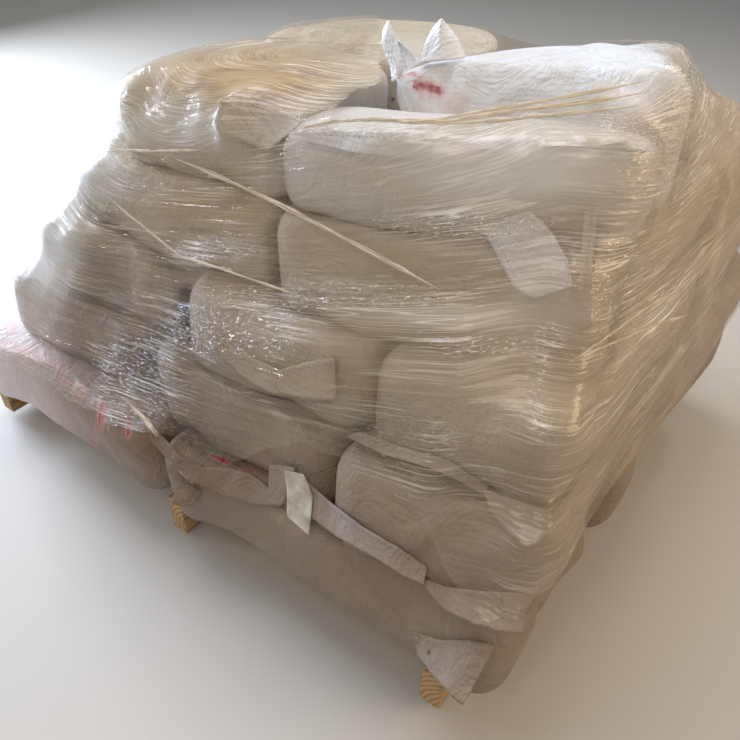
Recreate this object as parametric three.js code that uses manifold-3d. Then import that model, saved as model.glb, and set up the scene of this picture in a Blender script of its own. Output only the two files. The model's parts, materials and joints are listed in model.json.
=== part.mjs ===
// A wooden pallet loaded with five layers of filled woven sacks, held by stretch film.
// Millimetres, +Z up. The front of the load faces -Y. The origin is the bottom centre of the whole.
// Layout numbers are measured from the pallet's front right corner on the floor:
// x runs to the right along the front, y runs to the back and z is the height.
import * as THREE from 'three';
import { mergeVertices } from 'three/addons/utils/BufferGeometryUtils.js';
import Module from 'manifold-3d';

const wasm = await Module();
wasm.setup();

// Pallet
const PALLET_WIDTH = 1219;
const PALLET_DEPTH = 1016;
const STRINGER_WIDTH = 38;
const STRINGER_HEIGHT = 89;
const BOARD_THICKNESS = 16;
const TOP_BOARDS = 7;
const TOP_BOARD_WIDTH = 89;
const LEAD_BOARD_WIDTH = 140;
const DECK_SETBACK = 36;
const BOTTOM_BOARDS = 3;
const BOTTOM_SETBACK = 130;
const SEAT = 0.3;

// Sacks
const SACK_GAP = 0.35;
const FLAT_PART = 0.68;
const RIM_THICKNESS = 0.46;
const CORNER_PULL = 0.09;
const SIDE_BULGE = 0.06;
const SACK_SEGMENTS = [8, 6, 2];

// Ears, the free corners of the sewn end of the sack that lies on top, at places of its cell
const EAR_HEIGHT = 128;
const EAR_RADIUS = 34;
const EAR_FLATNESS = 0.3;
const EAR_SIDES = 6;
const EARED_SACK = { layer: 4, cell: 3, ears: [[-0.93, -0.61], [-0.8, -0.18]] };

// Stretch film. It starts at the share FILM_FOOT of the second layer's height, runs straight from each
// layer's share FILM_TOUCH to the next one's, and laps over the top layer's rim.
const FILM_WALL = 1.2;
const FILM_GAP = 0.5;
const FILM_CORNER = 50;
const FILM_CORNER_STEPS = 4;
const FILM_SHOULDER = 20;
const FILM_LAP = 110;
const FILM_TOUCH = 0.76;
const FILM_FOOT = 0.3;

// Tag sewn into the hem of the middle sack of the second layer, seated on its front between two places
const TAG = { width: 46, height: 96, thickness: 0.8, bottom: 283, layer: 1, cell: 1, sides: [0.5, 0.75] };

const DECK_TOP = BOARD_THICKNESS + STRINGER_HEIGHT + BOARD_THICKNESS + 2 * SEAT;

// The planes between the layers. rise is in mm for each metre to the right, fall for each metre back.
const PLANES = [
  { height: DECK_TOP, rise: 0, fall: 0 },
  { height: 278, rise: 4, fall: 0 },
  { height: 430, rise: 8, fall: 0 },
  { height: 575, rise: 20, fall: 8 },
  { height: 718, rise: 40, fall: 15 },
  { height: 846, rise: 75, fall: 50 },
];
const PLANE_MIDDLE = { x: -500, y: 400 };

// Each layer's outline and its sacks. front gives the front edge's y at the left, at the share of the
// width called bend, and at the right. A cell is [left, right, front, back], each a share of the outline.
const TWO_LONG_THREE_ENDS = [
  [0, 0.465, 0, 0.38],
  [0.465, 1, 0, 0.38],
  [0, 0.34, 0.38, 1],
  [0.34, 0.67, 0.38, 1],
  [0.67, 1, 0.38, 1],
];
const threeEndsTwoLong = (first, second, depth) => [
  [0, first, 0, depth],
  [first, second, 0, depth],
  [second, 1, 0, depth],
  [0, 0.5, depth, 1],
  [0.5, 1, depth, 1],
];
const FOUR_SACKS = [
  [0, 0.53, 0, 0.6],
  [0.53, 1, 0, 0.6],
  [0, 0.5, 0.6, 1],
  [0.5, 1, 0.6, 1],
];
const TOP_SACKS = [
  [0, 0.43, 0, 0.47],
  [0.43, 1, 0, 0.24],
  [0, 0.43, 0.47, 1],
  [0.43, 1, 0.24, 1],
];
const SECOND_SACKS = threeEndsTwoLong(0.4, 0.725, 0.63);
const THIRD_SACKS = threeEndsTwoLong(0.42, 0.735, 0.62);
const LAYERS = [
  { left: -1200, right: 88, front: [-40, -24, -8], bend: 0.5, back: 1030, cells: TWO_LONG_THREE_ENDS },
  { left: -1155, right: 92, front: [30, 26, 60], bend: 0.7, back: 1018, cells: SECOND_SACKS },
  { left: -1060, right: 72, front: [60, 72, 105], bend: 0.5, back: 1000, cells: THIRD_SACKS },
  { left: -965, right: 48, front: [102, 108, 200], bend: 0.7, back: 975, cells: FOUR_SACKS },
  { left: -765, right: 48, front: [125, 150, 270], bend: 0.6, back: 800, cells: TOP_SACKS },
];
const LAYER_NAMES = ['first', 'second', 'third', 'fourth', 'top'];

const pine = new THREE.MeshStandardMaterial({ color: 0xb98a55, roughness: 0.8, metalness: 0 });
const woven = new THREE.MeshStandardMaterial({ color: 0xd9cfbe, roughness: 0.75, metalness: 0 });
const film = new THREE.MeshStandardMaterial({
  color: 0xd8c9a4,
  roughness: 0.15,
  metalness: 0,
  transparent: true,
  opacity: 0.35,
});
const paper = new THREE.MeshStandardMaterial({ color: 0xe8e6df, roughness: 0.6, metalness: 0 });

const group = new THREE.Group();

function addMesh(name, geometry, material) {
  const mesh = new THREE.Mesh(geometry, material.clone());
  mesh.name = name;
  group.add(mesh);
  return mesh;
}

function closed(geometry) {
  geometry.deleteAttribute('normal');
  geometry.deleteAttribute('uv');
  return mergeVertices(geometry, 1e-3);
}

function addBoard(name, sizeX, sizeY, sizeZ, x, y, z) {
  const mesh = addMesh(name, new THREE.BoxGeometry(sizeX, sizeY, sizeZ), pine);
  mesh.position.set(x, y, z);
}

function addPallet() {
  const stringerZ = BOARD_THICKNESS + SEAT + STRINGER_HEIGHT / 2;
  const halfSpan = (PALLET_WIDTH - STRINGER_WIDTH) / 2;
  const names = ['stringer_left', 'stringer_middle', 'stringer_right'];
  names.forEach((name, i) => {
    const x = -PALLET_WIDTH / 2 + (i - 1) * halfSpan;
    addBoard(name, STRINGER_WIDTH, PALLET_DEPTH, STRINGER_HEIGHT, x, PALLET_DEPTH / 2, stringerZ);
  });
  const topZ = DECK_TOP - BOARD_THICKNESS / 2;
  const firstTop = DECK_SETBACK + LEAD_BOARD_WIDTH / 2;
  const topStep = (PALLET_DEPTH - DECK_SETBACK - LEAD_BOARD_WIDTH) / (TOP_BOARDS - 1);
  for (let i = 0; i < TOP_BOARDS; i += 1) {
    const isLead = i === 0 || i === TOP_BOARDS - 1;
    const width = isLead ? LEAD_BOARD_WIDTH : TOP_BOARD_WIDTH;
    const y = firstTop + i * topStep;
    addBoard(`deck_board_${i + 1}`, PALLET_WIDTH, width, BOARD_THICKNESS, -PALLET_WIDTH / 2, y, topZ);
  }
  const bottomStep = (PALLET_DEPTH - 2 * BOTTOM_SETBACK) / (BOTTOM_BOARDS - 1);
  for (let i = 0; i < BOTTOM_BOARDS; i += 1) {
    const y = BOTTOM_SETBACK + i * bottomStep;
    const z = BOARD_THICKNESS / 2;
    const name = `bottom_board_${i + 1}`;
    addBoard(name, PALLET_WIDTH, TOP_BOARD_WIDTH, BOARD_THICKNESS, -PALLET_WIDTH / 2, y, z);
  }
}

function planeHeight(index, x, y) {
  const plane = PLANES[index];
  const across = (x - PLANE_MIDDLE.x) / 1000;
  const back = (y - PLANE_MIDDLE.y) / 1000;
  return plane.height + plane.rise * across - plane.fall * back;
}

function frontEdge(layer, shareX) {
  const [left, middle, right] = layer.front;
  if (shareX < layer.bend) {
    return left + ((middle - left) * shareX) / layer.bend;
  }
  return middle + ((right - middle) * (shareX - layer.bend)) / (1 - layer.bend);
}

// A share of a layer's outline, 0 to 1 each way, as a place on the pallet
function layerPoint(layer, shareX, shareY) {
  const front = frontEdge(layer, shareX);
  return { x: layer.left + shareX * (layer.right - layer.left), y: front + shareY * (layer.back - front) };
}

// 1 over the middle of a sack, falling in a quarter wave to 0 at its edge
function plateau(t) {
  const past = Math.max(0, Math.abs(t) - FLAT_PART) / (1 - FLAT_PART);
  return Math.cos((past * Math.PI) / 2);
}

// A point of a cube from -1 to 1 moved to a filled sack's shape
function sackShape(u, v, w) {
  const thickness = RIM_THICKNESS + (1 - RIM_THICKNESS) * plateau(u) * plateau(v);
  const bulge = 1 - SIDE_BULGE * w * w * Math.max(Math.abs(u), Math.abs(v)) ** 6;
  return {
    u: u * (1 - CORNER_PULL * v ** 4) * bulge,
    v: v * (1 - CORNER_PULL * u ** 4) * bulge,
    w: w * thickness,
  };
}

function cellPlace(layerIndex, cell, u, v, w) {
  const layer = LAYERS[layerIndex];
  const gapX = SACK_GAP / (layer.right - layer.left);
  const gapY = SACK_GAP / (layer.back - layer.front[1]);
  const [left, right, front, back] = cell;
  const shareX = (left + right) / 2 + u * ((right - left) / 2 - gapX);
  const shareY = (front + back) / 2 + v * ((back - front) / 2 - gapY);
  const place = layerPoint(layer, shareX, shareY);
  const low = planeHeight(layerIndex, place.x, place.y) + SACK_GAP / 2;
  const high = planeHeight(layerIndex + 1, place.x, place.y) - SACK_GAP / 2;
  return new THREE.Vector3(place.x, place.y, low + ((high - low) * (1 + w)) / 2);
}

function sackGeometry(layerIndex, cell) {
  const geometry = closed(new THREE.BoxGeometry(2, 2, 2, ...SACK_SEGMENTS));
  const position = geometry.attributes.position;
  for (let i = 0; i < position.count; i += 1) {
    const shape = sackShape(position.getX(i), position.getY(i), position.getZ(i));
    const place = cellPlace(layerIndex, cell, shape.u, shape.v, shape.w);
    position.setXYZ(i, place.x, place.y, place.z);
  }
  return geometry;
}

function toSolid(geometry) {
  const vertProperties = new Float32Array(geometry.attributes.position.array);
  const triVerts = new Uint32Array(geometry.index.array);
  return new wasm.Manifold(new wasm.Mesh({ numProp: 3, vertProperties, triVerts }));
}

function toGeometry(solid) {
  const mesh = solid.getMesh();
  const geometry = new THREE.BufferGeometry();
  geometry.setAttribute('position', new THREE.BufferAttribute(new Float32Array(mesh.vertProperties), 3));
  geometry.setIndex(new THREE.BufferAttribute(new Uint32Array(mesh.triVerts), 1));
  return geometry;
}

function earGeometry(layerIndex, cell, u, v) {
  const ear = new THREE.ConeGeometry(EAR_RADIUS, EAR_HEIGHT, EAR_SIDES);
  ear.scale(EAR_FLATNESS, 1, 1);
  ear.rotateX(Math.PI / 2);
  const foot = cellPlace(layerIndex, cell, u, v, 0);
  ear.translate(foot.x, foot.y, foot.z + EAR_HEIGHT / 2);
  return closed(ear);
}

function addSacks() {
  LAYERS.forEach((layer, layerIndex) => {
    layer.cells.forEach((cell, i) => {
      let geometry = sackGeometry(layerIndex, cell);
      if (layerIndex === EARED_SACK.layer && i === EARED_SACK.cell) {
        const ears = EARED_SACK.ears.map(([u, v]) => toSolid(earGeometry(layerIndex, cell, u, v)));
        geometry = toGeometry(ears.reduce((sum, ear) => sum.add(ear), toSolid(geometry)));
      }
      addMesh(`sack_${LAYER_NAMES[layerIndex]}_${i + 1}`, geometry, woven);
    });
  });
}

// A layer's outline with a margin in mm, as points of a rounded rectangle, counterclockwise
function filmOutline(layer, margin) {
  const width = layer.right - layer.left;
  const depth = layer.back - layer.front[1];
  const radiusX = FILM_CORNER / width;
  const radiusY = FILM_CORNER / depth;
  const halfX = 0.5 + margin / width;
  const halfY = 0.5 + margin / depth;
  const corners = [[1, 1], [-1, 1], [-1, -1], [1, -1]];
  const points = [];
  corners.forEach(([sx, sy], quarter) => {
    for (let k = 0; k <= FILM_CORNER_STEPS; k += 1) {
      const angle = ((quarter + k / FILM_CORNER_STEPS) * Math.PI) / 2;
      const shareX = 0.5 + sx * (halfX - radiusX) + radiusX * Math.cos(angle);
      const shareY = 0.5 + sy * (halfY - radiusY) + radiusY * Math.sin(angle);
      points.push(layerPoint(layer, shareX, shareY));
    }
    if (quarter === 2) {
      points.push(layerPoint(layer, layer.bend, 0.5 - halfY));
    }
  });
  return points;
}

// The film's rows from its lower edge to the lap over the top, as [layer, share of height, margin]
function filmRows(side) {
  const margin = FILM_GAP + (side === 'outer' ? FILM_WALL : 0);
  const lift = side === 'outer' ? FILM_GAP + FILM_WALL : FILM_GAP;
  const rows = [{ layer: 1, share: FILM_FOOT, margin, lift: 0 }];
  for (let layer = 1; layer < LAYERS.length; layer += 1) {
    rows.push({ layer, share: FILM_TOUCH, margin, lift: 0 });
  }
  const top = LAYERS.length - 1;
  rows.push({ layer: top, share: 1, margin: margin - FILM_SHOULDER, lift });
  rows.push({ layer: top, share: 1, margin: margin - FILM_LAP, lift });
  return rows;
}

// The inner wall's squares are cut along the same diagonals as the outer wall's, so that both run parallel
function cutInnerWall(geometry, rowCount, innerRow) {
  const index = geometry.index.array;
  for (let square = 0; square < index.length / 6; square += 1) {
    const row = square % (rowCount - 1);
    if (row >= innerRow && row < rowCount - 2) {
      const near = Math.floor(square / (rowCount - 1)) * rowCount + row;
      const next = near + rowCount;
      index.set([near, next, next + 1, near, next + 1, near + 1], square * 6);
    }
  }
}

// A closed ring of rows, turned round once and then moved to the outlines of its layers
function addFilm() {
  const rows = [...filmRows('outer'), ...filmRows('inner').reverse()];
  rows.push(rows[0]);
  const outlines = rows.map((row) => filmOutline(LAYERS[row.layer], row.margin));
  const around = outlines[0].length;
  const profile = rows.map((row, j) => new THREE.Vector2(1 + j, j));
  const geometry = new THREE.LatheGeometry(profile, around);
  const position = geometry.attributes.position;
  for (let i = 0; i <= around; i += 1) {
    for (let j = 0; j < rows.length; j += 1) {
      const row = rows[j];
      const point = outlines[j][i % around];
      const low = planeHeight(row.layer, point.x, point.y);
      const high = planeHeight(row.layer + 1, point.x, point.y);
      const z = low + (high - low) * row.share + row.lift;
      position.setXYZ(i * rows.length + j, point.x, point.y, z);
    }
  }
  cutInnerWall(geometry, rows.length, (rows.length - 1) / 2);
  addMesh('stretch_film', closed(geometry), film);
}

function addTag() {
  const cell = LAYERS[TAG.layer].cells[TAG.cell];
  const [from, to] = TAG.sides.map((u) => {
    const shape = sackShape(u, -1, 0);
    return cellPlace(TAG.layer, cell, shape.u, shape.v, 0);
  });
  const turn = Math.atan2(to.y - from.y, to.x - from.x);
  const away = TAG.thickness / 2 + SEAT;
  const x = (from.x + to.x) / 2 + away * Math.sin(turn);
  const y = (from.y + to.y) / 2 - away * Math.cos(turn);
  const tag = addMesh('hem_tag', new THREE.BoxGeometry(TAG.width, TAG.thickness, TAG.height), paper);
  tag.rotation.z = turn;
  tag.position.set(x, y, TAG.bottom + TAG.height / 2);
}

addPallet();
addSacks();
addFilm();
addTag();

const box = new THREE.Box3().setFromObject(group);
group.position.set(-(box.min.x + box.max.x) / 2, -(box.min.y + box.max.y) / 2, -box.min.z);
group.updateMatrixWorld(true);

export default group;
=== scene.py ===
"""A wooden pallet loaded with five layers of filled woven sacks under dusty stretch film.

Everything is in metres in the frame's own axes: +X to the right along the front, +Y to the back, +Z up.
Places read from the photograph are given in its 740 by 740 pixels and cast from the camera onto the load.
"""

import json
import math

import bpy
import numpy as np
from bpy.props import FloatProperty, FloatVectorProperty, IntProperty, PointerProperty
from mathutils import Matrix, Vector
from mathutils.bvhtree import BVHTree

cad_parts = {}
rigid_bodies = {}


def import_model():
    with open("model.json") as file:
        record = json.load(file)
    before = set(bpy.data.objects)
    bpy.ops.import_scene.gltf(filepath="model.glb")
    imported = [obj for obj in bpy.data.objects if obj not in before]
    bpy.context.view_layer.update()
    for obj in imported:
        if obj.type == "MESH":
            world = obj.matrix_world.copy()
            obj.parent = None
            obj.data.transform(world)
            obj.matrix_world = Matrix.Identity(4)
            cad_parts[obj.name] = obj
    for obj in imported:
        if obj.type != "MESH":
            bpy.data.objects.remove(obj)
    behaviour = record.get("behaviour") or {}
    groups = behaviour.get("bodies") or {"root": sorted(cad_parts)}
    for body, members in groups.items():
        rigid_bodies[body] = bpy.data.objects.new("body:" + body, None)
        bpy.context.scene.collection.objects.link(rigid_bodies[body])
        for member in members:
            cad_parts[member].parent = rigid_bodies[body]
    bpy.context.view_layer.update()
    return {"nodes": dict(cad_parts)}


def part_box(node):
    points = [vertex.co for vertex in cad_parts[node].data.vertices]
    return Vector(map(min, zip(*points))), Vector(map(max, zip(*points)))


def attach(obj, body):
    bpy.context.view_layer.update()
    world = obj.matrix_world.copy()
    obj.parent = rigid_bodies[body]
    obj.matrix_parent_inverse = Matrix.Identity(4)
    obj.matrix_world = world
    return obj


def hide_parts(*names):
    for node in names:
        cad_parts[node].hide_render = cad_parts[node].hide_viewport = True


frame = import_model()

bl_info = {
    "name": "Pallet of Sacks",
    "version": (1, 0, 0),
    "blender": (4, 5, 0),
    "location": "3D View > Sidebar > Pallet of Sacks",
    "description": "Dresses the packed pallet of sacks with woven sacks, stretch film and pine boards",
    "category": "Object",
}

MM = 0.001
# The photograph's width and height in pixels, and a distance from the camera past the whole load
IMAGE = 740
REACH = 5.0

# Places on the load are measured from the pallet's front right corner on the floor, and so is the camera that
# fits the photograph
low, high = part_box("stringer_right")
CORNER = np.array(Vector((high.x, low.y, 0.0)))
EYE = np.array(Vector(CORNER) + Vector((0.241, -0.538, 1.200)))
FOCAL_PX = 735.0
SENSOR_MM = 36.0
YAW, PITCH, ROLL = (math.radians(a) for a in (-35.84, -39.2, 0.9))

SACKS = sorted(name for name in frame["nodes"] if name.startswith("sack_"))
BOARDS = sorted(name for name in frame["nodes"] if "board" in name or "stringer" in name)

# The load's layout in mm from CORNER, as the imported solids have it. A plane between two layers is its height
# at PLANE_MIDDLE, its rise for each metre to the right and its fall for each metre back. A layer is its left
# and right edges, its front edge's y at the left, at the share called bend and at the right, and its back.
PLANE_MIDDLE = (-500, 400)
PLANES = [(121.6, 0, 0), (278, 4, 0), (430, 8, 0), (575, 20, 8), (718, 40, 15), (846, 75, 50)]
LAYERS = {
    "first": dict(left=-1200, right=88, front=(-40, -24, -8), bend=0.5, back=1030),
    "second": dict(left=-1155, right=92, front=(30, 26, 60), bend=0.7, back=1018),
    "third": dict(left=-1060, right=72, front=(60, 72, 105), bend=0.5, back=1000),
    "fourth": dict(left=-965, right=48, front=(102, 108, 200), bend=0.7, back=975),
    "top": dict(left=-765, right=48, front=(125, 150, 270), bend=0.6, back=800),
}
ORDER = list(LAYERS)


def three_ends_two_long(first, second, depth):
    """Three sacks with their ends to the front, and two long ones behind them."""
    return [(0, first, 0, depth), (first, second, 0, depth), (second, 1, 0, depth),
            (0, 0.5, depth, 1), (0.5, 1, depth, 1)]


# Each sack's place in its layer, as shares: left, right, front, back
CELLS = {
    "first": [(0, 0.465, 0, 0.38), (0.465, 1, 0, 0.38),
              (0, 0.34, 0.38, 1), (0.34, 0.67, 0.38, 1), (0.67, 1, 0.38, 1)],
    "second": three_ends_two_long(0.4, 0.725, 0.63),
    "third": three_ends_two_long(0.42, 0.735, 0.62),
    "fourth": [(0, 0.53, 0, 0.6), (0.53, 1, 0, 0.6), (0, 0.5, 0.6, 1), (0.5, 1, 0.6, 1)],
    "top": [(0, 0.43, 0, 0.47), (0.43, 1, 0, 0.24), (0, 0.43, 0.47, 1), (0.43, 1, 0.24, 1)],
}
# How far a sack's top stands over or under its layer's plane
TOP_LIFT = {"sack_top_4": 24, "sack_top_2": -24, "sack_top_1": 4, "sack_top_3": 12}
# How far each layer's left end leans in from its foot to its top, and how far its front left corner is drawn
# in, in mm
LEFT_END = {"first": (15, 30), "second": (30, 45), "third": (50, 50), "fourth": (60, 30), "top": (10, 10)}
# How much shorter a layer's left sack is at its right end, which leaves a hollow at the front, in mm
HOLLOWS = {"second": 45, "third": 75}
# The sack that bulges to the front at its foot, and the one whose left end narrows to a seam with two ears
SWOLLEN_SACK = ("second", 2)
TIED_SACK = ("top", 3)
# Sacks that the photograph doesn't show, which are made of fewer points
COARSE_SACKS = {"sack_first_3", "sack_first_4", "sack_second_4", "sack_third_4", "sack_fourth_3",
                "sack_first_5", "sack_second_5", "sack_third_5", "sack_fourth_4"}


def linear(hex_colour):
    """An sRGB colour such as "#c8b69c" as linear RGBA."""
    parts = [int(hex_colour[i:i + 2], 16) / 255 for i in (1, 3, 5)]
    return [c / 12.92 if c <= 0.04045 else ((c + 0.055) / 1.055) ** 2.4 for c in parts] + [1.0]


def add_node(tree, kind, inputs=(), stops=(), **settings):
    """Adds a shader node with its settings. inputs are in the order of the inputs that it shows, or by their
    names: each is a value, a hex colour, a socket, or a node, which stands for its first shown output. stops
    are a colour ramp's places and colours."""
    node = tree.nodes.new(kind)
    for key, value in settings.items():
        setattr(node, key, value)
    for i, (position, colour) in enumerate(stops):
        node.color_ramp.elements[i].position = position
        node.color_ramp.elements[i].color = linear(colour)
    shown = [socket for socket in node.inputs if socket.enabled]
    if isinstance(inputs, dict):
        pairs = [(next(s for s in shown if s.name == name), value) for name, value in inputs.items()]
    else:
        pairs = list(zip(shown, inputs))
    for socket, value in pairs:
        if isinstance(value, bpy.types.Node):
            value = next(output for output in value.outputs if output.enabled)
        if isinstance(value, bpy.types.NodeSocket):
            tree.links.new(value, socket)
        else:
            socket.default_value = linear(value) if isinstance(value, str) else value
    return node


def new_material(name):
    """A material with an empty node tree, and the tree."""
    mat = bpy.data.materials.new(name)
    mat.use_nodes = True
    mat.node_tree.nodes.clear()
    return mat, mat.node_tree


def camera_axes():
    """The camera's right, up and back directions."""
    ahead = Vector((math.sin(YAW) * math.cos(PITCH), math.cos(YAW) * math.cos(PITCH), math.sin(PITCH)))
    level = Vector((math.cos(YAW), -math.sin(YAW), 0.0))
    rise = level.cross(ahead)
    right = math.cos(ROLL) * level + math.sin(ROLL) * rise
    up = -math.sin(ROLL) * level + math.cos(ROLL) * rise
    return right, up, -ahead


def select_only(obj=None):
    """Selects one object, or none."""
    for other in bpy.context.view_layer.objects:
        other.select_set(False)
    if obj is not None:
        obj.select_set(True)
        bpy.context.view_layer.objects.active = obj


def mesh_object(name, verts, faces, material=None, uv=None, smooth=True):
    mesh = bpy.data.meshes.new(name)
    mesh.from_pydata([tuple(v) for v in verts], [], faces)
    if uv is not None:
        layer = mesh.uv_layers.new(name="UVMap")
        corners = np.empty(len(mesh.loops), dtype=np.int32)
        mesh.loops.foreach_get("vertex_index", corners)
        layer.data.foreach_set("uv", np.asarray(uv, dtype=np.float32)[corners].ravel())
    mesh.polygons.foreach_set("use_smooth", [smooth] * len(mesh.polygons))
    mesh.update()
    obj = bpy.data.objects.new(name, mesh)
    bpy.context.scene.collection.objects.link(obj)
    if material is not None:
        mesh.materials.append(material)
    return obj


def apply_modifier(obj, kind, **settings):
    modifier = obj.modifiers.new(kind.title(), kind)
    for key, value in settings.items():
        setattr(modifier, key, value)
    select_only(obj)
    bpy.ops.object.modifier_apply(modifier=modifier.name)


def get_points(obj):
    points = np.empty(len(obj.data.vertices) * 3)
    obj.data.vertices.foreach_get("co", points)
    return points.reshape(-1, 3)


def set_points(obj, points):
    obj.data.vertices.foreach_set("co", np.asarray(points, dtype=np.float32).ravel())
    obj.data.update()


def set_attribute(obj, name, values):
    """Keeps a number or a vector for each of a mesh's points, for its material to read."""
    vector = values.ndim > 1
    layer = obj.data.attributes.new(name, "FLOAT_VECTOR" if vector else "FLOAT", "POINT")
    layer.data.foreach_set("vector" if vector else "value", values.astype(np.float32).ravel())


# Sacks

def plane_height(index, x, y):
    height, rise, fall = PLANES[index]
    return height + rise * (x - PLANE_MIDDLE[0]) / 1000 - fall * (y - PLANE_MIDDLE[1]) / 1000


def smooth_step(value, low, high):
    part = np.clip((value - low) / (high - low), 0.0, 1.0)
    return part * part * (3 - 2 * part)


def front_edge(layer, share):
    left, middle, right = layer["front"]
    bend = layer["bend"]
    return np.where(share < bend, left + (middle - left) * share / bend,
                    middle + (right - middle) * (share - bend) / (1 - bend))


# soft_noise repeats after this many lumps
NOISE_CELLS = 32


def soft_noise(points, size, seed):
    """Smooth noise from -1 to 1 at points in metres, with lumps of about that size in metres each way."""
    table = np.random.default_rng(seed).uniform(-1, 1, (NOISE_CELLS,) * 3)
    place = np.asarray(points) / np.asarray(size)
    cell = np.floor(place).astype(int)
    part = place - cell
    part = part * part * (3 - 2 * part)
    total = np.zeros(len(place))
    for corner in np.ndindex(2, 2, 2):
        weight = np.prod(np.where(corner, part, 1 - part), axis=1)
        i, j, k = ((cell + corner) % NOISE_CELLS).T
        total += weight * table[i, j, k]
    return total


def box_skin(counts):
    """The closed skin of a block of counts squares each way: whole-number corners and its squares."""
    nx, ny, nz = counts
    index = {}
    for i in range(nx + 1):
        for j in range(ny + 1):
            for k in range(nz + 1):
                if i in (0, nx) or j in (0, ny) or k in (0, nz):
                    index[i, j, k] = len(index)
    faces = []
    for axis in range(3):
        a, b = (axis + 1) % 3, (axis + 2) % 3
        for end in (0, counts[axis]):
            for m in range(counts[a]):
                for n in range(counts[b]):
                    ring = []
                    for dm, dn in ((0, 0), (1, 0), (1, 1), (0, 1)):
                        corner = [0, 0, 0]
                        corner[axis], corner[a], corner[b] = end, m + dm, n + dn
                        ring.append(index[tuple(corner)])
                    faces.append(ring if end else ring[::-1])
    return np.array(list(index), dtype=float), faces


def rounded(points, half, top, bottom, corner):
    """Points on a block's skin moved to a cushion: its plan has round corners, its rim one radius over the
    middle and another under it."""
    plan = points[:, :2].copy()
    inner = np.clip(plan, -(half[:2] - corner), half[:2] - corner)
    out = plan - inner
    far = np.linalg.norm(out, axis=1, keepdims=True)
    square = np.abs(out).max(axis=1, keepdims=True)
    out = out * np.where(far > 1e-9, square / np.maximum(far, 1e-9), 1.0)
    far = np.linalg.norm(out, axis=1, keepdims=True)
    edge = np.where(points[:, 2:] > 0, top, bottom)
    core = np.column_stack((inner + out * np.minimum(1.0, (corner - edge) / np.maximum(far, 1e-9)),
                            np.clip(points[:, 2:], -(half[2] - edge), half[2] - edge)))
    away = np.column_stack((inner + out, points[:, 2])) - core
    length = np.linalg.norm(away, axis=1, keepdims=True)
    return core + away * np.minimum(length, edge) / np.maximum(length, 1e-9)


def drawn_in(name, x, y, share_z):
    """x moved to the load's leaning left end and, on top, to its round back right corner."""
    layer = LAYERS[name]
    lean, corner = LEFT_END[name]
    from_front = y - layer["front"][0]
    x = x + smooth_step(x, layer["left"] + 260, layer["left"]) * (
        lean * smooth_step(share_z, -0.6, 1.0) + corner * smooth_step(from_front, 180, 0))
    if name == "top":
        x = x - smooth_step(x, layer["right"] - 300, layer["right"]) * (25 + 95 * smooth_step(y, 430, 800))
    return x


def place_in_layer(name, number, shares, lift):
    """Moves points given as shares from -1 to 1 of a sack's cell to their place in the load, in metres."""
    layer, index = LAYERS[name], ORDER.index(name)
    left, right, front, back = CELLS[name][number]
    across = (left + right) / 2 + shares[:, 0] * (right - left) / 2
    deep = (front + back) / 2 + shares[:, 1] * (back - front) / 2
    near = front_edge(layer, across)
    x = layer["left"] + across * (layer["right"] - layer["left"])
    y = near + deep * (layer["back"] - near)
    low = plane_height(index, x, y)
    high = plane_height(index + 1, x, y) + lift * (1 - 1.5 * smooth_step(y, 420, 780))
    # The hollow beside a left sack, and the single sacks that lie unlike their neighbours
    if number == 0 and name in HOLLOWS:
        end = layer["left"] + right * (layer["right"] - layer["left"])
        x = x - HOLLOWS[name] * smooth_step(x, end - 190, end) * smooth_step(y, 330, 130)
    if (name, number) == SWOLLEN_SACK:
        y = y - 42 * (1 - shares[:, 2]) / 2 * smooth_step(x, -330, -120) * smooth_step(y, 300, 60)
    if (name, number) == TIED_SACK:
        taper = smooth_step(x, layer["left"] + 560, layer["left"] + 350)
        seam = smooth_step(x, layer["left"] + 460, layer["left"] + 350)
        low = low + (high - 40 - low) * seam
        high = high + (22 + 22 * shares[:, 1]) * seam
        x, y = x + 70 * taper, y - 0.62 * (y - 305) * taper
    z = low + (high - low) * (1 + shares[:, 2]) / 2
    return CORNER + np.column_stack((drawn_in(name, x, y, shares[:, 2]), y, z)) * MM


# How much wider the points of a coarse sack are set, and the size of the filling's lumps in metres
COARSER = 1.5
LUMP_SIZE = 0.17


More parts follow.
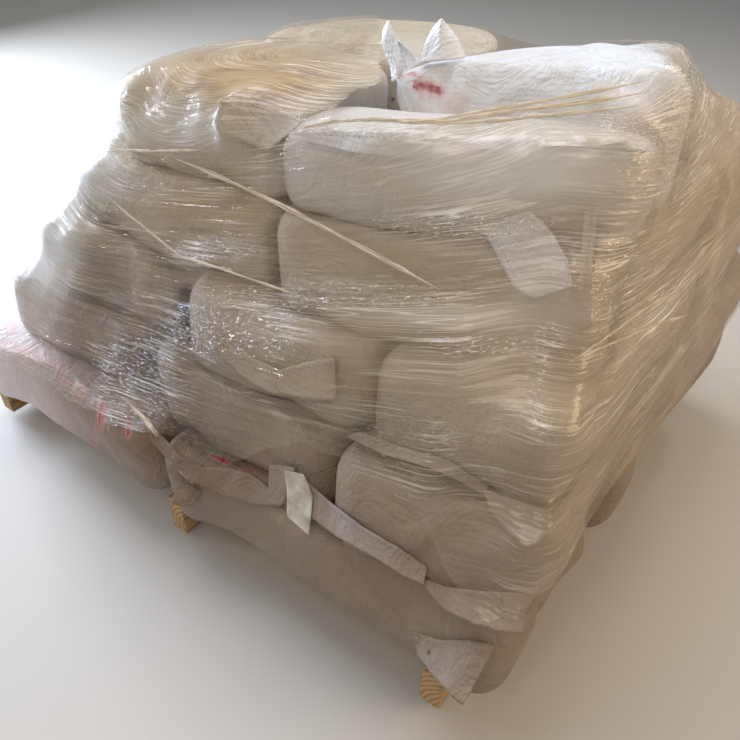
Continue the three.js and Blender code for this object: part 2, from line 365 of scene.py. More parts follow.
def make_sack(node, props):
    """One filled bag, simulated as a straight block in its own axes and then set into its layer."""
    _, name, number = node.split("_")
    number = int(number) - 1
    layer, index = LAYERS[name], ORDER.index(name)
    left, right, front, back = CELLS[name][number]
    lift = TOP_LIFT.get(node, 0)
    width = (right - left) * (layer["right"] - layer["left"]) * MM
    depth = (back - front) * (layer["back"] - layer["front"][1]) * MM
    height = (PLANES[index + 1][0] - PLANES[index][0] + lift) * MM
    half = np.array([width, depth, height]) / 2
    step = props.step * (COARSER if node in COARSE_SACKS else 1.0)
    counts = [max(4, round(2 * h / step)) for h in half]
    corners, faces = box_skin(counts)
    points = (corners / counts * 2 - 1) * half
    points = rounded(points, half, props.edge, props.foot_edge, props.corner)
    seed = 100 * index + number
    lumps = soft_noise(points + seed, LUMP_SIZE, seed)
    points *= 1 - props.gap / half + lumps[:, None] * props.lumps / half.min() * np.array([0.5, 0.5, 0.25])
    obj = mesh_object(f"{node}_bag", points, faces)
    start = get_points(obj)
    inflate(obj, props)
    moved = get_points(obj) - start
    far = np.linalg.norm(moved, axis=1, keepdims=True)
    set_points(obj, start + moved * np.minimum(1.0, props.swell / np.maximum(far, 1e-9)))
    apply_modifier(obj, "SUBSURF", levels=1, render_levels=1)
    local = get_points(obj)
    shares = local / half
    # A bag may swell past its cell only where no neighbour lies
    low = [-1.0 if left > 0 else -1.2, -1.0 if front > 0 else -1.2, -1.0]
    high = [1.0 if right < 1 else 1.2, 1.0 if back < 1 else 1.2, 1.3 if name == "top" else 1.0]
    shares = np.clip(shares, low, high)
    set_points(obj, place_in_layer(name, number, shares, lift))
    set_attribute(obj, "cloth", local + seed)
    obj.data.polygons.foreach_set("use_smooth", [True] * len(obj.data.polygons))
    return obj


def inflate(obj, props):
    """Swells the bag by pressure. Its cloth is a little larger than its shape, so it gathers into folds."""
    scene = bpy.context.scene
    cloth = obj.modifiers.new("Cloth", "CLOTH")
    settings = cloth.settings
    settings.quality = 4
    settings.mass = 0.3
    settings.tension_stiffness = 15
    settings.compression_stiffness = 15
    settings.bending_stiffness = 0.3
    settings.shrink_min = -props.slack
    settings.use_pressure = True
    settings.uniform_pressure_force = props.pressure
    settings.effector_weights.gravity = 0.0
    cloth.collision_settings.use_collision = False
    cloth.point_cache.frame_start = 1
    cloth.point_cache.frame_end = props.frames
    for step in range(1, props.frames + 1):
        scene.frame_set(step)
    select_only(obj)
    bpy.ops.object.modifier_apply(modifier=cloth.name)
    scene.frame_set(1)


class SackSettings(bpy.types.PropertyGroup):
    step: FloatProperty(
        name="Cloth step", description="Spacing of the cloth's points while it is simulated",
        default=0.016, min=0.004, subtype="DISTANCE", unit="LENGTH")
    edge: FloatProperty(
        name="Upper edge radius", description="Radius of the rim over its middle, seen from the side",
        default=0.040, subtype="DISTANCE", unit="LENGTH")
    foot_edge: FloatProperty(
        name="Lower edge radius", description="Radius of the rim under its middle, seen from the side",
        default=0.016, subtype="DISTANCE", unit="LENGTH")
    corner: FloatProperty(
        name="Corner radius", description="Radius of the corners, seen from above",
        default=0.062, subtype="DISTANCE", unit="LENGTH")
    lumps: FloatProperty(
        name="Lumps", description="Height of the lumps that the filling makes",
        default=0.010, subtype="DISTANCE", unit="LENGTH")
    gap: FloatProperty(
        name="Gap", description="Room left to the neighbours before the bag swells",
        default=0.002, subtype="DISTANCE", unit="LENGTH")
    pressure: FloatProperty(name="Pressure", description="Pressure of the filling on the cloth", default=4.0)
    slack: FloatProperty(
        name="Slack", description="How much larger the cloth is than its shape", default=0.06,
        subtype="FACTOR")
    swell: FloatProperty(
        name="Swell", description="The furthest that a point of the cloth may move",
        default=0.016, subtype="DISTANCE", unit="LENGTH")
    frames: IntProperty(name="Frames", description="Simulated frames", default=20, min=1)


# Casting from the photograph onto the load

def pixel_rays(pixels):
    """The directions from the camera through an array of pixels of the photograph."""
    right, up, back = (np.array(axis) for axis in camera_axes())
    across = (pixels[..., :1] - IMAGE / 2) / FOCAL_PX
    down = (pixels[..., 1:] - IMAGE / 2) / FOCAL_PX
    rays = right * across - up * down - back
    return rays / np.linalg.norm(rays, axis=-1, keepdims=True)


def to_pixels(points):
    """Where points of the load lie in the photograph."""
    right, up, back = (np.array(axis) for axis in camera_axes())
    away = points - EYE
    depth = -(away @ back)
    return np.stack((IMAGE / 2 + FOCAL_PX * (away @ right) / depth,
                     IMAGE / 2 - FOCAL_PX * (away @ up) / depth), axis=-1)


def inside(pixels, outline):
    """Which pixels lie inside a closed outline."""
    found = np.zeros(pixels.shape[:-1], dtype=bool)
    u, v = pixels[..., 0], pixels[..., 1]
    for (u0, v0), (u1, v1) in zip(outline, outline[1:] + outline[:1]):
        crosses = (v0 > v) != (v1 > v)
        with np.errstate(divide="ignore", invalid="ignore"):
            found ^= crosses & (u < u0 + (v - v0) * (u1 - u0) / (v1 - v0 if v1 != v0 else 1e-9))
    return found


def surface_of(objects):
    """One tree of all the faces of some objects, to cast rays onto."""
    points, faces, offset = [], [], 0
    for obj in objects:
        own = get_points(obj)
        points.append(own)
        faces.extend([i + offset for i in face.vertices] for face in obj.data.polygons)
        offset += len(own)
    return BVHTree.FromPolygons(np.vstack(points).tolist(), faces)


def cast(tree, starts, rays, reach):
    """How far each ray goes before it meets the tree, or reach."""
    shape = rays.shape[:-1]
    starts = np.broadcast_to(starts, rays.shape).reshape(-1, 3).tolist()
    far = np.full(len(starts), float(reach))
    for i, (start, ray) in enumerate(zip(starts, rays.reshape(-1, 3).tolist())):
        distance = tree.ray_cast(start, ray, reach)[3]
        if distance is not None:
            far[i] = distance
    return far.reshape(shape)


def shifted(points, stride, axis, ring):
    if ring:
        return np.roll(points, stride, axis)
    index = np.clip(np.arange(points.shape[axis]) - stride, 0, points.shape[axis] - 1)
    return np.take(points, index, axis)


def tauten(starts, rays, limit, passes, ring=False):
    """Pulls a grid of points, each on its own ray, tight in front of limit, as a sheet lies over bumps."""
    far = limit.copy()
    for stride, count in passes:
        for _ in range(count):
            points = starts + rays * far[..., None]
            middle = (shifted(points, stride, 1, ring) + shifted(points, -stride, 1, ring)
                      + shifted(points, stride, 0, False) + shifted(points, -stride, 0, False)) / 4
            far = np.minimum(limit, ((middle - starts) * rays).sum(-1))
    return far


def resampled(path, count):
    """count points spaced evenly along a path."""
    path = np.asarray(path, dtype=float)
    run = np.concatenate(([0.0], np.cumsum(np.linalg.norm(np.diff(path, axis=0), axis=1))))
    spots = np.linspace(0, run[-1], count)
    return np.column_stack([np.interp(spots, run, path[:, k]) for k in range(path.shape[1])])


def grid_faces(rows, columns, ring=False):
    faces = []
    for i in range(rows - 1):
        for j in range(columns if ring else columns - 1):
            k = (j + 1) % columns
            faces.append((i * columns + j, i * columns + k, (i + 1) * columns + k, (i + 1) * columns + j))
    return faces


def grid_size(points):
    """The width and length of a grid of points, measured along its own lines."""
    across = np.linalg.norm(np.diff(points, axis=1), axis=-1).sum(1).mean()
    along = np.linalg.norm(np.diff(points, axis=0), axis=-1).sum(0).mean()
    return float(across), float(along)


CLOTH_THICKNESS = 0.0016
# Pixels of the photograph between a cloth's points
PATCH_SPACING = 3.0
# A ray that goes this far has missed the load
BEHIND_LOAD = 4.0
# How far back an ear leans for each unit that it rises
EAR_LEAN = 0.7


def patch(name, tree, first, second, lift, material, rows=7, slack=0.0, upright=None, seed=0):
    """A piece of cloth between two paths of pixels, laid lift in front of what the camera sees there. upright
    is a pixel of the load where the cloth stands up instead, with its middle lift in front of its sides."""
    longest = max(np.linalg.norm(np.diff(np.array(p, float), axis=0), axis=1).sum() for p in (first, second))
    count = max(6, int(longest / PATCH_SPACING))
    share = np.linspace(0, 1, rows)[:, None, None]
    pixels = resampled(first, count)[None] * (1 - share) + resampled(second, count)[None] * share
    rays = pixel_rays(pixels)
    if upright is None:
        limit = cast(tree, EYE, rays, REACH)
        missed = limit > BEHIND_LOAD
        limit[missed] = np.median(limit[~missed]) + 0.05
        limit -= lift
        far = tauten(np.broadcast_to(EYE, rays.shape), rays, limit, ((3, 12), (2, 16), (1, 24)))
    else:
        ray = pixel_rays(np.array([upright], float))
        foot = EYE + ray[0] * cast(tree, EYE, ray, REACH)[0]
        level = ray[0] * (1, 1, 0)
        level = level / np.linalg.norm(level) - (0, 0, EAR_LEAN)
        far = ((foot - EYE) @ level + 0.008) / (rays @ level) - lift * (1 - np.abs(2 * share[..., 0] - 1))
    points = EYE + rays * far[..., None]
    lumps = soft_noise(points.reshape(-1, 3) + seed, 0.035, seed).reshape(far.shape)
    points = points - rays * ((0.5 + 0.5 * lumps) * slack)[..., None]
    size = grid_size(points)
    uv = np.stack(np.meshgrid(np.linspace(0, size[0], count), np.linspace(0, size[1], rows)), axis=-1)
    obj = mesh_object(name, points.reshape(-1, 3), grid_faces(rows, count), material, uv.reshape(-1, 2))
    apply_modifier(obj, "SUBSURF", levels=1, render_levels=1)
    apply_modifier(obj, "SOLIDIFY", thickness=CLOTH_THICKNESS, offset=0.0)
    set_attribute(obj, "cloth", get_points(obj))
    return obj, size


# Colours and stains of the cloth, kept on its points

# Streaks and smears in pixels of the photograph, with their half width in metres and their strength
STAINS = [
    ([(101, 404), (99, 424), (92, 446)], 0.007, 1.0),
    ([(105, 410), (104, 420)], 0.005, 0.9),
    ([(129, 419), (128, 434)], 0.006, 1.0),
    ([(3, 343), (51, 363), (89, 401)], 0.014, 0.5),
    ([(15, 312), (11, 332)], 0.012, 0.6),
    ([(28, 298), (40, 308)], 0.010, 0.5),
    ([(403, 76), (413, 74), (420, 77)], 0.005, 0.8),
    ([(416, 84), (430, 88), (440, 92)], 0.007, 0.95),
    ([(425, 94), (445, 100), (462, 104)], 0.010, 0.5),
    ([(415, 112), (440, 114), (470, 110)], 0.008, 0.45),
    ([(640, 112), (662, 122)], 0.014, 0.45),
    ([(213, 456), (227, 462)], 0.005, 1.0),
    ([(240, 468), (256, 474)], 0.004, 0.8),
]


def stain_paths(tree):
    """The stains as points on the load."""
    paths = []
    for path, width, strength in STAINS:
        rays = pixel_rays(resampled(path, 12))
        far = cast(tree, EYE, rays, REACH)
        paths.append((EYE + rays * far[:, None], width, strength))
    return paths


def tint_cloth(obj, paths):
    """Keeps how stained, warm in colour and pink the cloth is at each point, and how much painted shade browns
    it.
    """
    points = get_points(obj)
    stain = np.zeros(len(points))
    for path, width, strength in paths:
        near = np.min([np.linalg.norm(points - spot, axis=1) for spot in path], axis=0)
        stain = np.maximum(stain, strength * np.clip(1.6 - near / width * 0.8, 0, 1))
    x, _, z = (points - CORNER).T
    # Warm tan over most of the load: partly its dust, partly painted light and shade, as the lit left end, the
    # right part of the top layer and the tied top sack are kept whiter.
    on_top = smooth_step(z, 0.72, 0.76) * smooth_step(x, -0.5, -0.4)
    warm = 0.15 + smooth_step(x, -1.15, -0.75) * 0.85 - 0.5 * on_top
    if "top_4" in obj.name:
        warm = warm * 0
    elif obj.name in PALE_HEMS:
        warm = warm * 0.3
    # Painted shade: the cloth browns towards the bottom everywhere but the far left end, where the light
    # falls, and more in a band at mid height on the left half.
    grime = smooth_step(z, 0.74, 0.28) * smooth_step(x, -1.08, -0.75)
    grime = grime + 0.5 * smooth_step(z, 0.68, 0.55) * smooth_step(z, 0.18, 0.3) * (
        smooth_step(x, -1.05, -0.85) * smooth_step(x, -0.35, -0.6))
    pink = smooth_step(z, 0.46, 0.32) * (1 - 0.6 * smooth_step(x, -0.6, 0.0))
    for name, values in (("stain", stain), ("warm", np.clip(warm, 0, 1)), ("pink", pink), ("grime", grime)):
        set_attribute(obj, name, values)


# Patches in the cloth: how many there are in a metre, their detail and their roughness. They are about 330,
# 140, 26, 18, 29 and 50 mm wide.
CLOTH_PATCHES = {"washed": (3.0, 3.0, 0.5), "dust": (7.0, 6.0, 0.65), "spots": (38.0, 4.0, 0.5),
                 "ragged": (55.0, 5.0, 0.7), "dents": (34.0, 5.0, 0.6), "gloss": (20.0, 3.0, 0.5)}
# A weave repeats after two tapes of 3 mm. A hem is sewn in a row 7.5 mm from its edge, a stitch every 7 mm.
WEAVE_REPEAT = 0.006
SEAM_ROW = 0.0075
STITCH = 0.007


def woven_material():
    """Woven polypropylene tape about 3 mm wide: a dull white plastic cloth with a faint weave and soft
    creases, dusty, stained, and browned low down by painted shade."""
    mat, tree = new_material("woven polypropylene")
    cloth = add_node(tree, "ShaderNodeAttribute", attribute_name="cloth").outputs["Vector"]
    stain, warm, pink, grime = (add_node(tree, "ShaderNodeAttribute", attribute_name=name).outputs["Fac"]
                                for name in ("stain", "warm", "pink", "grime"))
    patches = {name: add_node(tree, "ShaderNodeTexNoise", {"Vector": cloth, "Scale": scale, "Detail": detail,
                                                           "Roughness": roughness})
               for name, (scale, detail, roughness) in CLOTH_PATCHES.items()}

    washed = add_node(tree, "ShaderNodeMapRange", (patches["washed"], 0.3, 0.7, 0.35, 0.85))
    pink = add_node(tree, "ShaderNodeMath", (pink, washed), operation="MULTIPLY")
    # Painted shade: the cloth browns low down, as kept on its points
    grime = add_node(tree, "ShaderNodeMath", (grime, 0.8), operation="MULTIPLY")
    dust = add_node(tree, "ShaderNodeMapRange", (patches["dust"], 0.5, 0.78, 0.0, 0.5))
    spots = add_node(tree, "ShaderNodeMapRange", (patches["spots"], 0.6, 0.8, 0.0, 0.28))
    ragged = add_node(tree, "ShaderNodeMapRange", (patches["ragged"], 0.2, 0.8, -0.35, 0.35))
    ragged = add_node(tree, "ShaderNodeMath", (stain, ragged), operation="ADD")
    smear = add_node(tree, "ShaderNodeMapRange", (ragged, 0.25, 0.8, 0.0, 0.42))
    streak = add_node(tree, "ShaderNodeMath", (ragged, stain), operation="MULTIPLY")
    streak = add_node(tree, "ShaderNodeMapRange", (streak, 0.55, 0.95, 0.0, 0.85))
    specks = add_node(tree, "ShaderNodeTexVoronoi", {"Vector": cloth, "Scale": 8.0, "Randomness": 1.0})
    specks = add_node(tree, "ShaderNodeMapRange", (specks, 0.02, 0.035, 0.75, 0.0))

    seam = add_node(tree, "ShaderNodeTexCoord").outputs["UV"]
    along, across = add_node(tree, "ShaderNodeSeparateXYZ", (seam,)).outputs[:2]
    row = add_node(tree, "ShaderNodeMath", (across, SEAM_ROW), operation="SUBTRACT")
    row = add_node(tree, "ShaderNodeMath", (row,), operation="ABSOLUTE")
    row = add_node(tree, "ShaderNodeMapRange", (row, 0.0007, 0.0013, 1.0, 0.0))
    dashes = add_node(tree, "ShaderNodeMath", (along, 2 * math.pi / STITCH), operation="MULTIPLY")
    dashes = add_node(tree, "ShaderNodeMath", (dashes,), operation="SINE")
    dashes = add_node(tree, "ShaderNodeMapRange", (dashes, -0.5, -0.2, 0.0, 1.0))
    stitches = add_node(tree, "ShaderNodeMath", (row, dashes), operation="MULTIPLY")
    stitches = add_node(tree, "ShaderNodeMath", (stitches, 0.4), operation="MULTIPLY")

    # The warm tan is partly dust and partly painted light and shade
    colour = "#e6e9ee"
    for share, paint in ((warm, "#bdb099"), (pink, "#d9c6c4"), (grime, "#7d6a57"), (dust, "#b49a78"),
                         (spots, "#9d8462"), (smear, "#d98f8f"), (streak, "#9a2f33"), (specks, "#4a3222"),
                         (stitches, "#6f6252")):
        colour = add_node(tree, "ShaderNodeMix", (share, colour, paint), data_type="RGBA")

    crease = add_node(tree, "ShaderNodeTexNoise", {"Vector": cloth, "Scale": 11.0, "Detail": 4.0,
                                                   "Roughness": 0.55, "Distortion": 1.2})
    crease = add_node(tree, "ShaderNodeMath", (crease, 0.5), operation="SUBTRACT")
    crease = add_node(tree, "ShaderNodeMath", (crease,), operation="ABSOLUTE")
    crease = add_node(tree, "ShaderNodeMapRange", (crease, 0.0, 0.10, 0.0, 1.0))
    tapes = add_node(tree, "ShaderNodeVectorMath", {"Vector": cloth, "Scale": 2 * math.pi / WEAVE_REPEAT},
                     operation="SCALE")
    tapes = add_node(tree, "ShaderNodeVectorMath", (tapes,), operation="SINE")
    one, two, three = add_node(tree, "ShaderNodeSeparateXYZ", (tapes,)).outputs
    weave = add_node(tree, "ShaderNodeMath", (one, two), operation="ADD")
    weave = add_node(tree, "ShaderNodeMath", (weave, three), operation="ADD")
    bump = add_node(tree, "ShaderNodeBump", {"Height": crease, "Strength": 0.35, "Distance": 0.006})
    bump = add_node(tree, "ShaderNodeBump", {"Height": patches["dents"], "Normal": bump, "Strength": 0.35,
                                             "Distance": 0.004})
    bump = add_node(tree, "ShaderNodeBump", {"Height": weave, "Normal": bump, "Strength": 0.18,
                                             "Distance": 0.0006})
    roughness = add_node(tree, "ShaderNodeMapRange", (patches["gloss"], 0.3, 0.7, 0.5, 0.7))
    shader = add_node(tree, "ShaderNodeBsdfPrincipled", {"Base Color": colour, "Roughness": roughness,
                                                         "Normal": bump})
    add_node(tree, "ShaderNodeOutputMaterial", (shader,))
    return mat


class PALLET_OT_sacks(bpy.types.Operator):
    """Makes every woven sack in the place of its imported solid"""
    bl_idname = "pallet_of_sacks.sacks"
    bl_label = "Sacks"

    def execute(self, context):
        props = context.scene.pallet_sack
        material = woven_material()
        made = []
        for node in SACKS:
            obj = make_sack(node, props)
            obj.data.materials.append(material)
            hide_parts(node)
            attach(obj, "root")
            made.append(obj)
        paths = stain_paths(surface_of(made))
        for obj in made:
            tint_cloth(obj, paths)
        return {"FINISHED"}


# Hems, flaps, ears and the tag

# Each hem or flap: its two long sides in pixels of the photograph, how far it stands off, and how loose it is
HEMS = {
    "hem_second_2": ([(150, 424), (166, 440), (180, 456), (203, 467), (230, 468), (251, 474), (267, 486)],
                     [(150, 441), (174, 465), (190, 481), (222, 495), (257, 505), (283, 507)], 0.004, 0.010),
    "flap_second_2": ([(269, 465), (282, 465), (296, 468)],
                      [(268, 504), (276, 507), (284, 504)], 0.010, 0.006),
    "hem_second_3": ([(308, 482), (334, 505), (363, 527), (401, 549), (427, 567)],
                     [(308, 515), (337, 537), (377, 559), (403, 576), (424, 585)], 0.006, 0.005),
    "flap_second_3": ([(422, 577), (446, 587), (483, 591), (527, 593)],
                      [(422, 584), (443, 609), (470, 623), (499, 632), (523, 635)], 0.010, 0.008),
    "flap_first_2": ([(414, 632), (440, 640), (470, 640), (496, 645)],
                     [(417, 653), (430, 673), (454, 699), (463, 706)], 0.006, 0.010),
    "ear_first_2": ([(178, 482), (190, 484), (202, 492)],
                    [(171, 503), (182, 507), (194, 504)], 0.008, 0.006),
    "hem_third_3": ([(360, 432), (400, 446), (450, 461), (488, 486)],
                    [(345, 436), (382, 454), (430, 468), (457, 480), (484, 495)], 0.005, 0.004),
    "flap_third_3": ([(482, 488), (515, 500), (552, 512)],
                     [(492, 514), (520, 545), (528, 549), (545, 538)], 0.010, 0.006),
    "hem_third_2": ([(215, 345), (243, 353), (279, 370), (300, 374)],
                    [(215, 349), (243, 377), (270, 393), (304, 400)], 0.006, 0.006),
    "flap_third_2": ([(279, 370), (306, 362), (335, 357)],
                     [(277, 392), (304, 399), (336, 401)], 0.010, 0.006),
    "hem_fourth_2": ([(481, 226), (499, 260), (514, 288), (534, 299)],
                     [(530, 210), (552, 232), (568, 260), (573, 286)], 0.004, 0.005),
    "hem_fourth_2_end": ([(584, 212), (581, 250), (578, 290), (584, 326)],
                         [(598, 208), (594, 250), (590, 290), (589, 328)], 0.004, 0.003),
    "hem_top_2": ([(289, 132), (350, 130), (417, 131), (474, 139), (560, 140), (607, 139), (649, 150)],
                  [(289, 138), (350, 152), (417, 160), (470, 158), (528, 160), (585, 170), (630, 160)],
                  0.012, 0.010),
    "flap_top_1": ([(221, 97), (253, 98), (280, 108), (302, 121)],
                   [(216, 130), (245, 142), (267, 152), (292, 130)], 0.004, 0.005),
}

# Hems that are cleaner than their sacks
PALE_HEMS = ["hem_top_2", "hem_fourth_2", "hem_second_3", "flap_second_2"]

# The ears of the sack on top: their two sides in pixels, the pixel that they stand at, and how far they fold
# out between their sides, in metres
EARS = {
    "ear_top_4_left": ([(392, 82), (391, 68), (386, 55), (382, 42), (383, 30), (388, 21)],
                       [(400, 78), (403, 66), (402, 56), (399, 46), (395, 34), (389, 21)], (400, 86), 0.012),
    "ear_top_4_web": ([(396, 41), (400, 58), (400, 78)],
                      [(398, 40), (409, 50), (421, 61)], (400, 86), -0.006),
    "ear_top_4_right": ([(419, 63), (425, 44), (431, 31), (437, 23), (441, 19)],
                        [(466, 58), (459, 40), (450, 28), (445, 23), (442, 19)], (446, 64), 0.022),
}


EAR_SLACK = 0.010


class HemSettings(bpy.types.PropertyGroup):
    looseness: FloatProperty(
        name="Looseness", description="How strongly hems and flaps lift off the sacks", default=1.0,
        min=0.0, max=3.0)


class PALLET_OT_hems(bpy.types.Operator):
    """Lays the sewn hems, flaps and ears on the sacks"""
    bl_idname = "pallet_of_sacks.hems"
    bl_label = "Hems and flaps"

    def execute(self, context):
        loose = context.scene.pallet_hem.looseness
        material = bpy.data.materials["woven polypropylene"]
        bags = [bpy.data.objects[f"{node}_bag"] for node in SACKS]
        tree = surface_of(bags + [frame["nodes"][name] for name in BOARDS])
        paths = stain_paths(tree)
        for i, (name, (first, second, lift, slack)) in enumerate(HEMS.items()):
            obj, size = patch(name, tree, first, second, lift, material, slack=slack * loose, seed=i)
            tint_cloth(obj, paths)
            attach(obj, "root")
        for i, (name, (first, second, foot, fold)) in enumerate(EARS.items()):
            obj, size = patch(name, tree, first, second, fold, material, rows=9, slack=EAR_SLACK,
                              upright=foot, seed=50 + i)
            tint_cloth(obj, [])
            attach(obj, "root")
        return {"FINISHED"}


def tag_material():
    """Spunbond label stock: matte and fibrous, greyed where it was handled."""
    mat, tree = new_material("spunbond label stock")
    uv = add_node(tree, "ShaderNodeTexCoord").outputs["UV"]
    # Grey patches of about 25 mm, and fibres drawn 4 mm apart, coarser than real ones, so that they show
    grime = add_node(tree, "ShaderNodeTexNoise", {"Vector": uv, "Scale": 40.0, "Detail": 5.0})
    colour = add_node(tree, "ShaderNodeValToRGB", (grime,), stops=((0.35, "#b7ab9c"), (0.6, "#dcd7cf")))
    fibres = add_node(tree, "ShaderNodeTexNoise", {"Vector": uv, "Scale": 260.0, "Detail": 2.0})
    bump = add_node(tree, "ShaderNodeBump", {"Height": fibres, "Strength": 0.2, "Distance": 0.0005})
    shader = add_node(tree, "ShaderNodeBsdfPrincipled", {"Base Color": colour, "Roughness": 0.7,
                                                         "Normal": bump})
    add_node(tree, "ShaderNodeOutputMaterial", (shader,))
    return mat


# The tag's two long sides in pixels of the photograph
TAG_SIDES = ([(284, 470), (287, 490), (287, 516)], [(304, 474), (313, 496), (309, 536)])


class PALLET_OT_tag(bpy.types.Operator):
    """Hangs the bare tag from the hem of the middle sack of the second layer"""
    bl_idname = "pallet_of_sacks.tag"
    bl_label = "Tag"

    def execute(self, context):
        names = [f"{node}_bag" for node in SACKS] + list(HEMS)
        tree = surface_of([bpy.data.objects[name] for name in names])
        obj, size = patch("hem_tag_cloth", tree, *TAG_SIDES, 0.004, tag_material(), slack=0.004, seed=80)
        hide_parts("hem_tag")
        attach(obj, "root")
        return {"FINISHED"}


# Stretch film

LAYER_HEIGHT = 0.15
TOP_LAYER = len(ORDER) - 1
# Rays are cast at the load from this many mm outside its edges to this many inside them
OUTSIDE, INSIDE = 90.0, -130.0
# Over the rim the rays fan from level to straight down, and then go round the top in laps, each nearer to its
# middle. They start this far out, and the last laps end at LAST_LAP mm inside the edges.
FAN_ROWS = 14
LAP_ROWS = 28
OVER_TOP = 0.22
FIRST_LAP, LAST_LAP = -80, -300
# A fan row or lap counts as this share of a layer
TOP_ROW = 0.054
# The row of the film that its distances round the load are measured along, and the rows past the rim where
# the opening may begin and where the sides meet the top
FLOW_ROW = 40
OPENING_ROWS = 5
RIM_ROWS = 6

# Where the film is crumpled, with a stronger bump, more gloss and painted glints: each spot's pixel, half
# width, half height and strength
SPARKLES = [((230, 330), (75, 30), 1.0), ((215, 250), (45, 14), 0.8), ((455, 222), (90, 14), 1.0),
            ((140, 385), (50, 55), 0.8), ((330, 296), (120, 16), 0.8), ((480, 345), (60, 10), 0.8),
            ((552, 335), (16, 14), 0.9), ((575, 275), (8, 30), 0.9), ((540, 400), (14, 60), 0.4),
            ((660, 150), (60, 70), 0.55), ((640, 300), (60, 70), 0.55), ((410, 440), (60, 40), 0.4),
            ((120, 180), (60, 40), 0.35), ((700, 90), (30, 30), 0.6), ((360, 120), (60, 14), 0.5)]

# Where the film is dusty or milky: each spot's pixel, half width, half height, how much more of the dust
# there is and how pale it is
DUSTY = [((500, 170), (150, 50), 0.60, 0.85), ((180, 128), (70, 26), 0.42, 0.8),
         ((250, 75), (120, 34), 0.55, 0.0), ((190, 210), (80, 34), 0.20, 0.0),
         ((540, 310), (60, 35), 0.28, 0.5), ((440, 315), (100, 16), 0.26, 0.5),
         ((50, 240), (40, 75), 0.60, 1.0), ((100, 175), (40, 34), 0.30, 0.8),
         ((640, 340), (60, 50), 0.12, 0.3), ((640, 90), (50, 30), 0.25, 0.8)]

# The part of the top that the film leaves bare, in pixels of the photograph
OPENING = [(318, 126), (330, 108), (352, 92), (378, 84), (380, 40), (376, 10), (400, 2), (450, 4), (486, 30),
           (560, 33), (640, 40), (668, 56), (664, 70), (592, 91), (518, 104), (429, 121), (372, 119)]


class FilmSettings(bpy.types.PropertyGroup):
    columns: IntProperty(name="Columns", description="Points round the load", default=440, min=80)
    rows: IntProperty(
        name="Rows", description="Points from the foot of the film to the rim", default=84, min=20)
    stand_off: FloatProperty(
        name="Stand-off", description="Least distance from the sacks", default=0.003,
        subtype="DISTANCE", unit="LENGTH")
    wrinkle: FloatProperty(
        name="Wrinkle", description="Height of the tension folds", default=0.0035,
        subtype="DISTANCE", unit="LENGTH")


def ring_columns(count):
    """For each column of the film: its share of the way from the middle to the corners' centres, both ways,
    and its outward angle."""
    corner = count // 22
    side_x = (count - 4 * corner) * 3 // 10
    side_y = (count - 4 * corner - 2 * side_x) // 2
    ax, ay, angle = [], [], []
    corners = [(1, 1), (-1, 1), (-1, -1), (1, -1)]
    for quarter, (sx, sy) in enumerate(corners):
        turn = (quarter + np.arange(corner) / corner) * math.pi / 2
        ax.extend([sx] * corner)
        ay.extend([sy] * corner)
        angle.extend(turn)
        steps = side_x if quarter % 2 == 0 else side_y
        nx, ny = corners[(quarter + 1) % 4]
        share = np.arange(steps) / steps
        ax.extend(sx + (nx - sx) * share)
        ay.extend(sy + (ny - sy) * share)
        angle.extend([(quarter + 1) * math.pi / 2] * steps)
    return np.array(ax), np.array(ay), np.array(angle)


def ring_points(columns, index, margin):
    """A closed line round a layer at its middle height, margin in mm outside its edges."""
    ax, ay, angle = columns
    layer = LAYERS[ORDER[index]]
    size = layer["right"] - layer["left"], layer["back"] - layer["front"][1]
    radius = 80 if margin > -80 else max(6.0, 80 + 0.28 * (margin + 80))
    share = [0.5 + a * (0.5 + (margin - radius) / s) + radius / s * turn
             for a, s, turn in zip((ax, ay), size, (np.cos(angle), np.sin(angle)))]
    near = front_edge(layer, share[0])
    x = layer["left"] + share[0] * size[0]
    y = near + share[1] * (layer["back"] - near)
    z = (plane_height(index, x, y) + plane_height(index + 1, x, y)) / 2
    return CORNER + np.column_stack((drawn_in(ORDER[index], x, y, 0.0), y, z)) * MM


def film_foot(points):
    """Where the film starts at each column, counted in layers from the middle of the first."""
    x, y = ((points - CORNER) / MM).T[:2]
    front = smooth_step(y, 420, 120)
    foot = 0.62 - 0.3 * smooth_step(x, -500, -1000) + 0.88 * smooth_step(x, -430, -260)
    foot -= 0.72 * smooth_step(x, -70, 60)
    return front * foot + (1 - front) * (0.55 + 0.25 * smooth_step(x, -300, 0) * smooth_step(y, 800, 300))


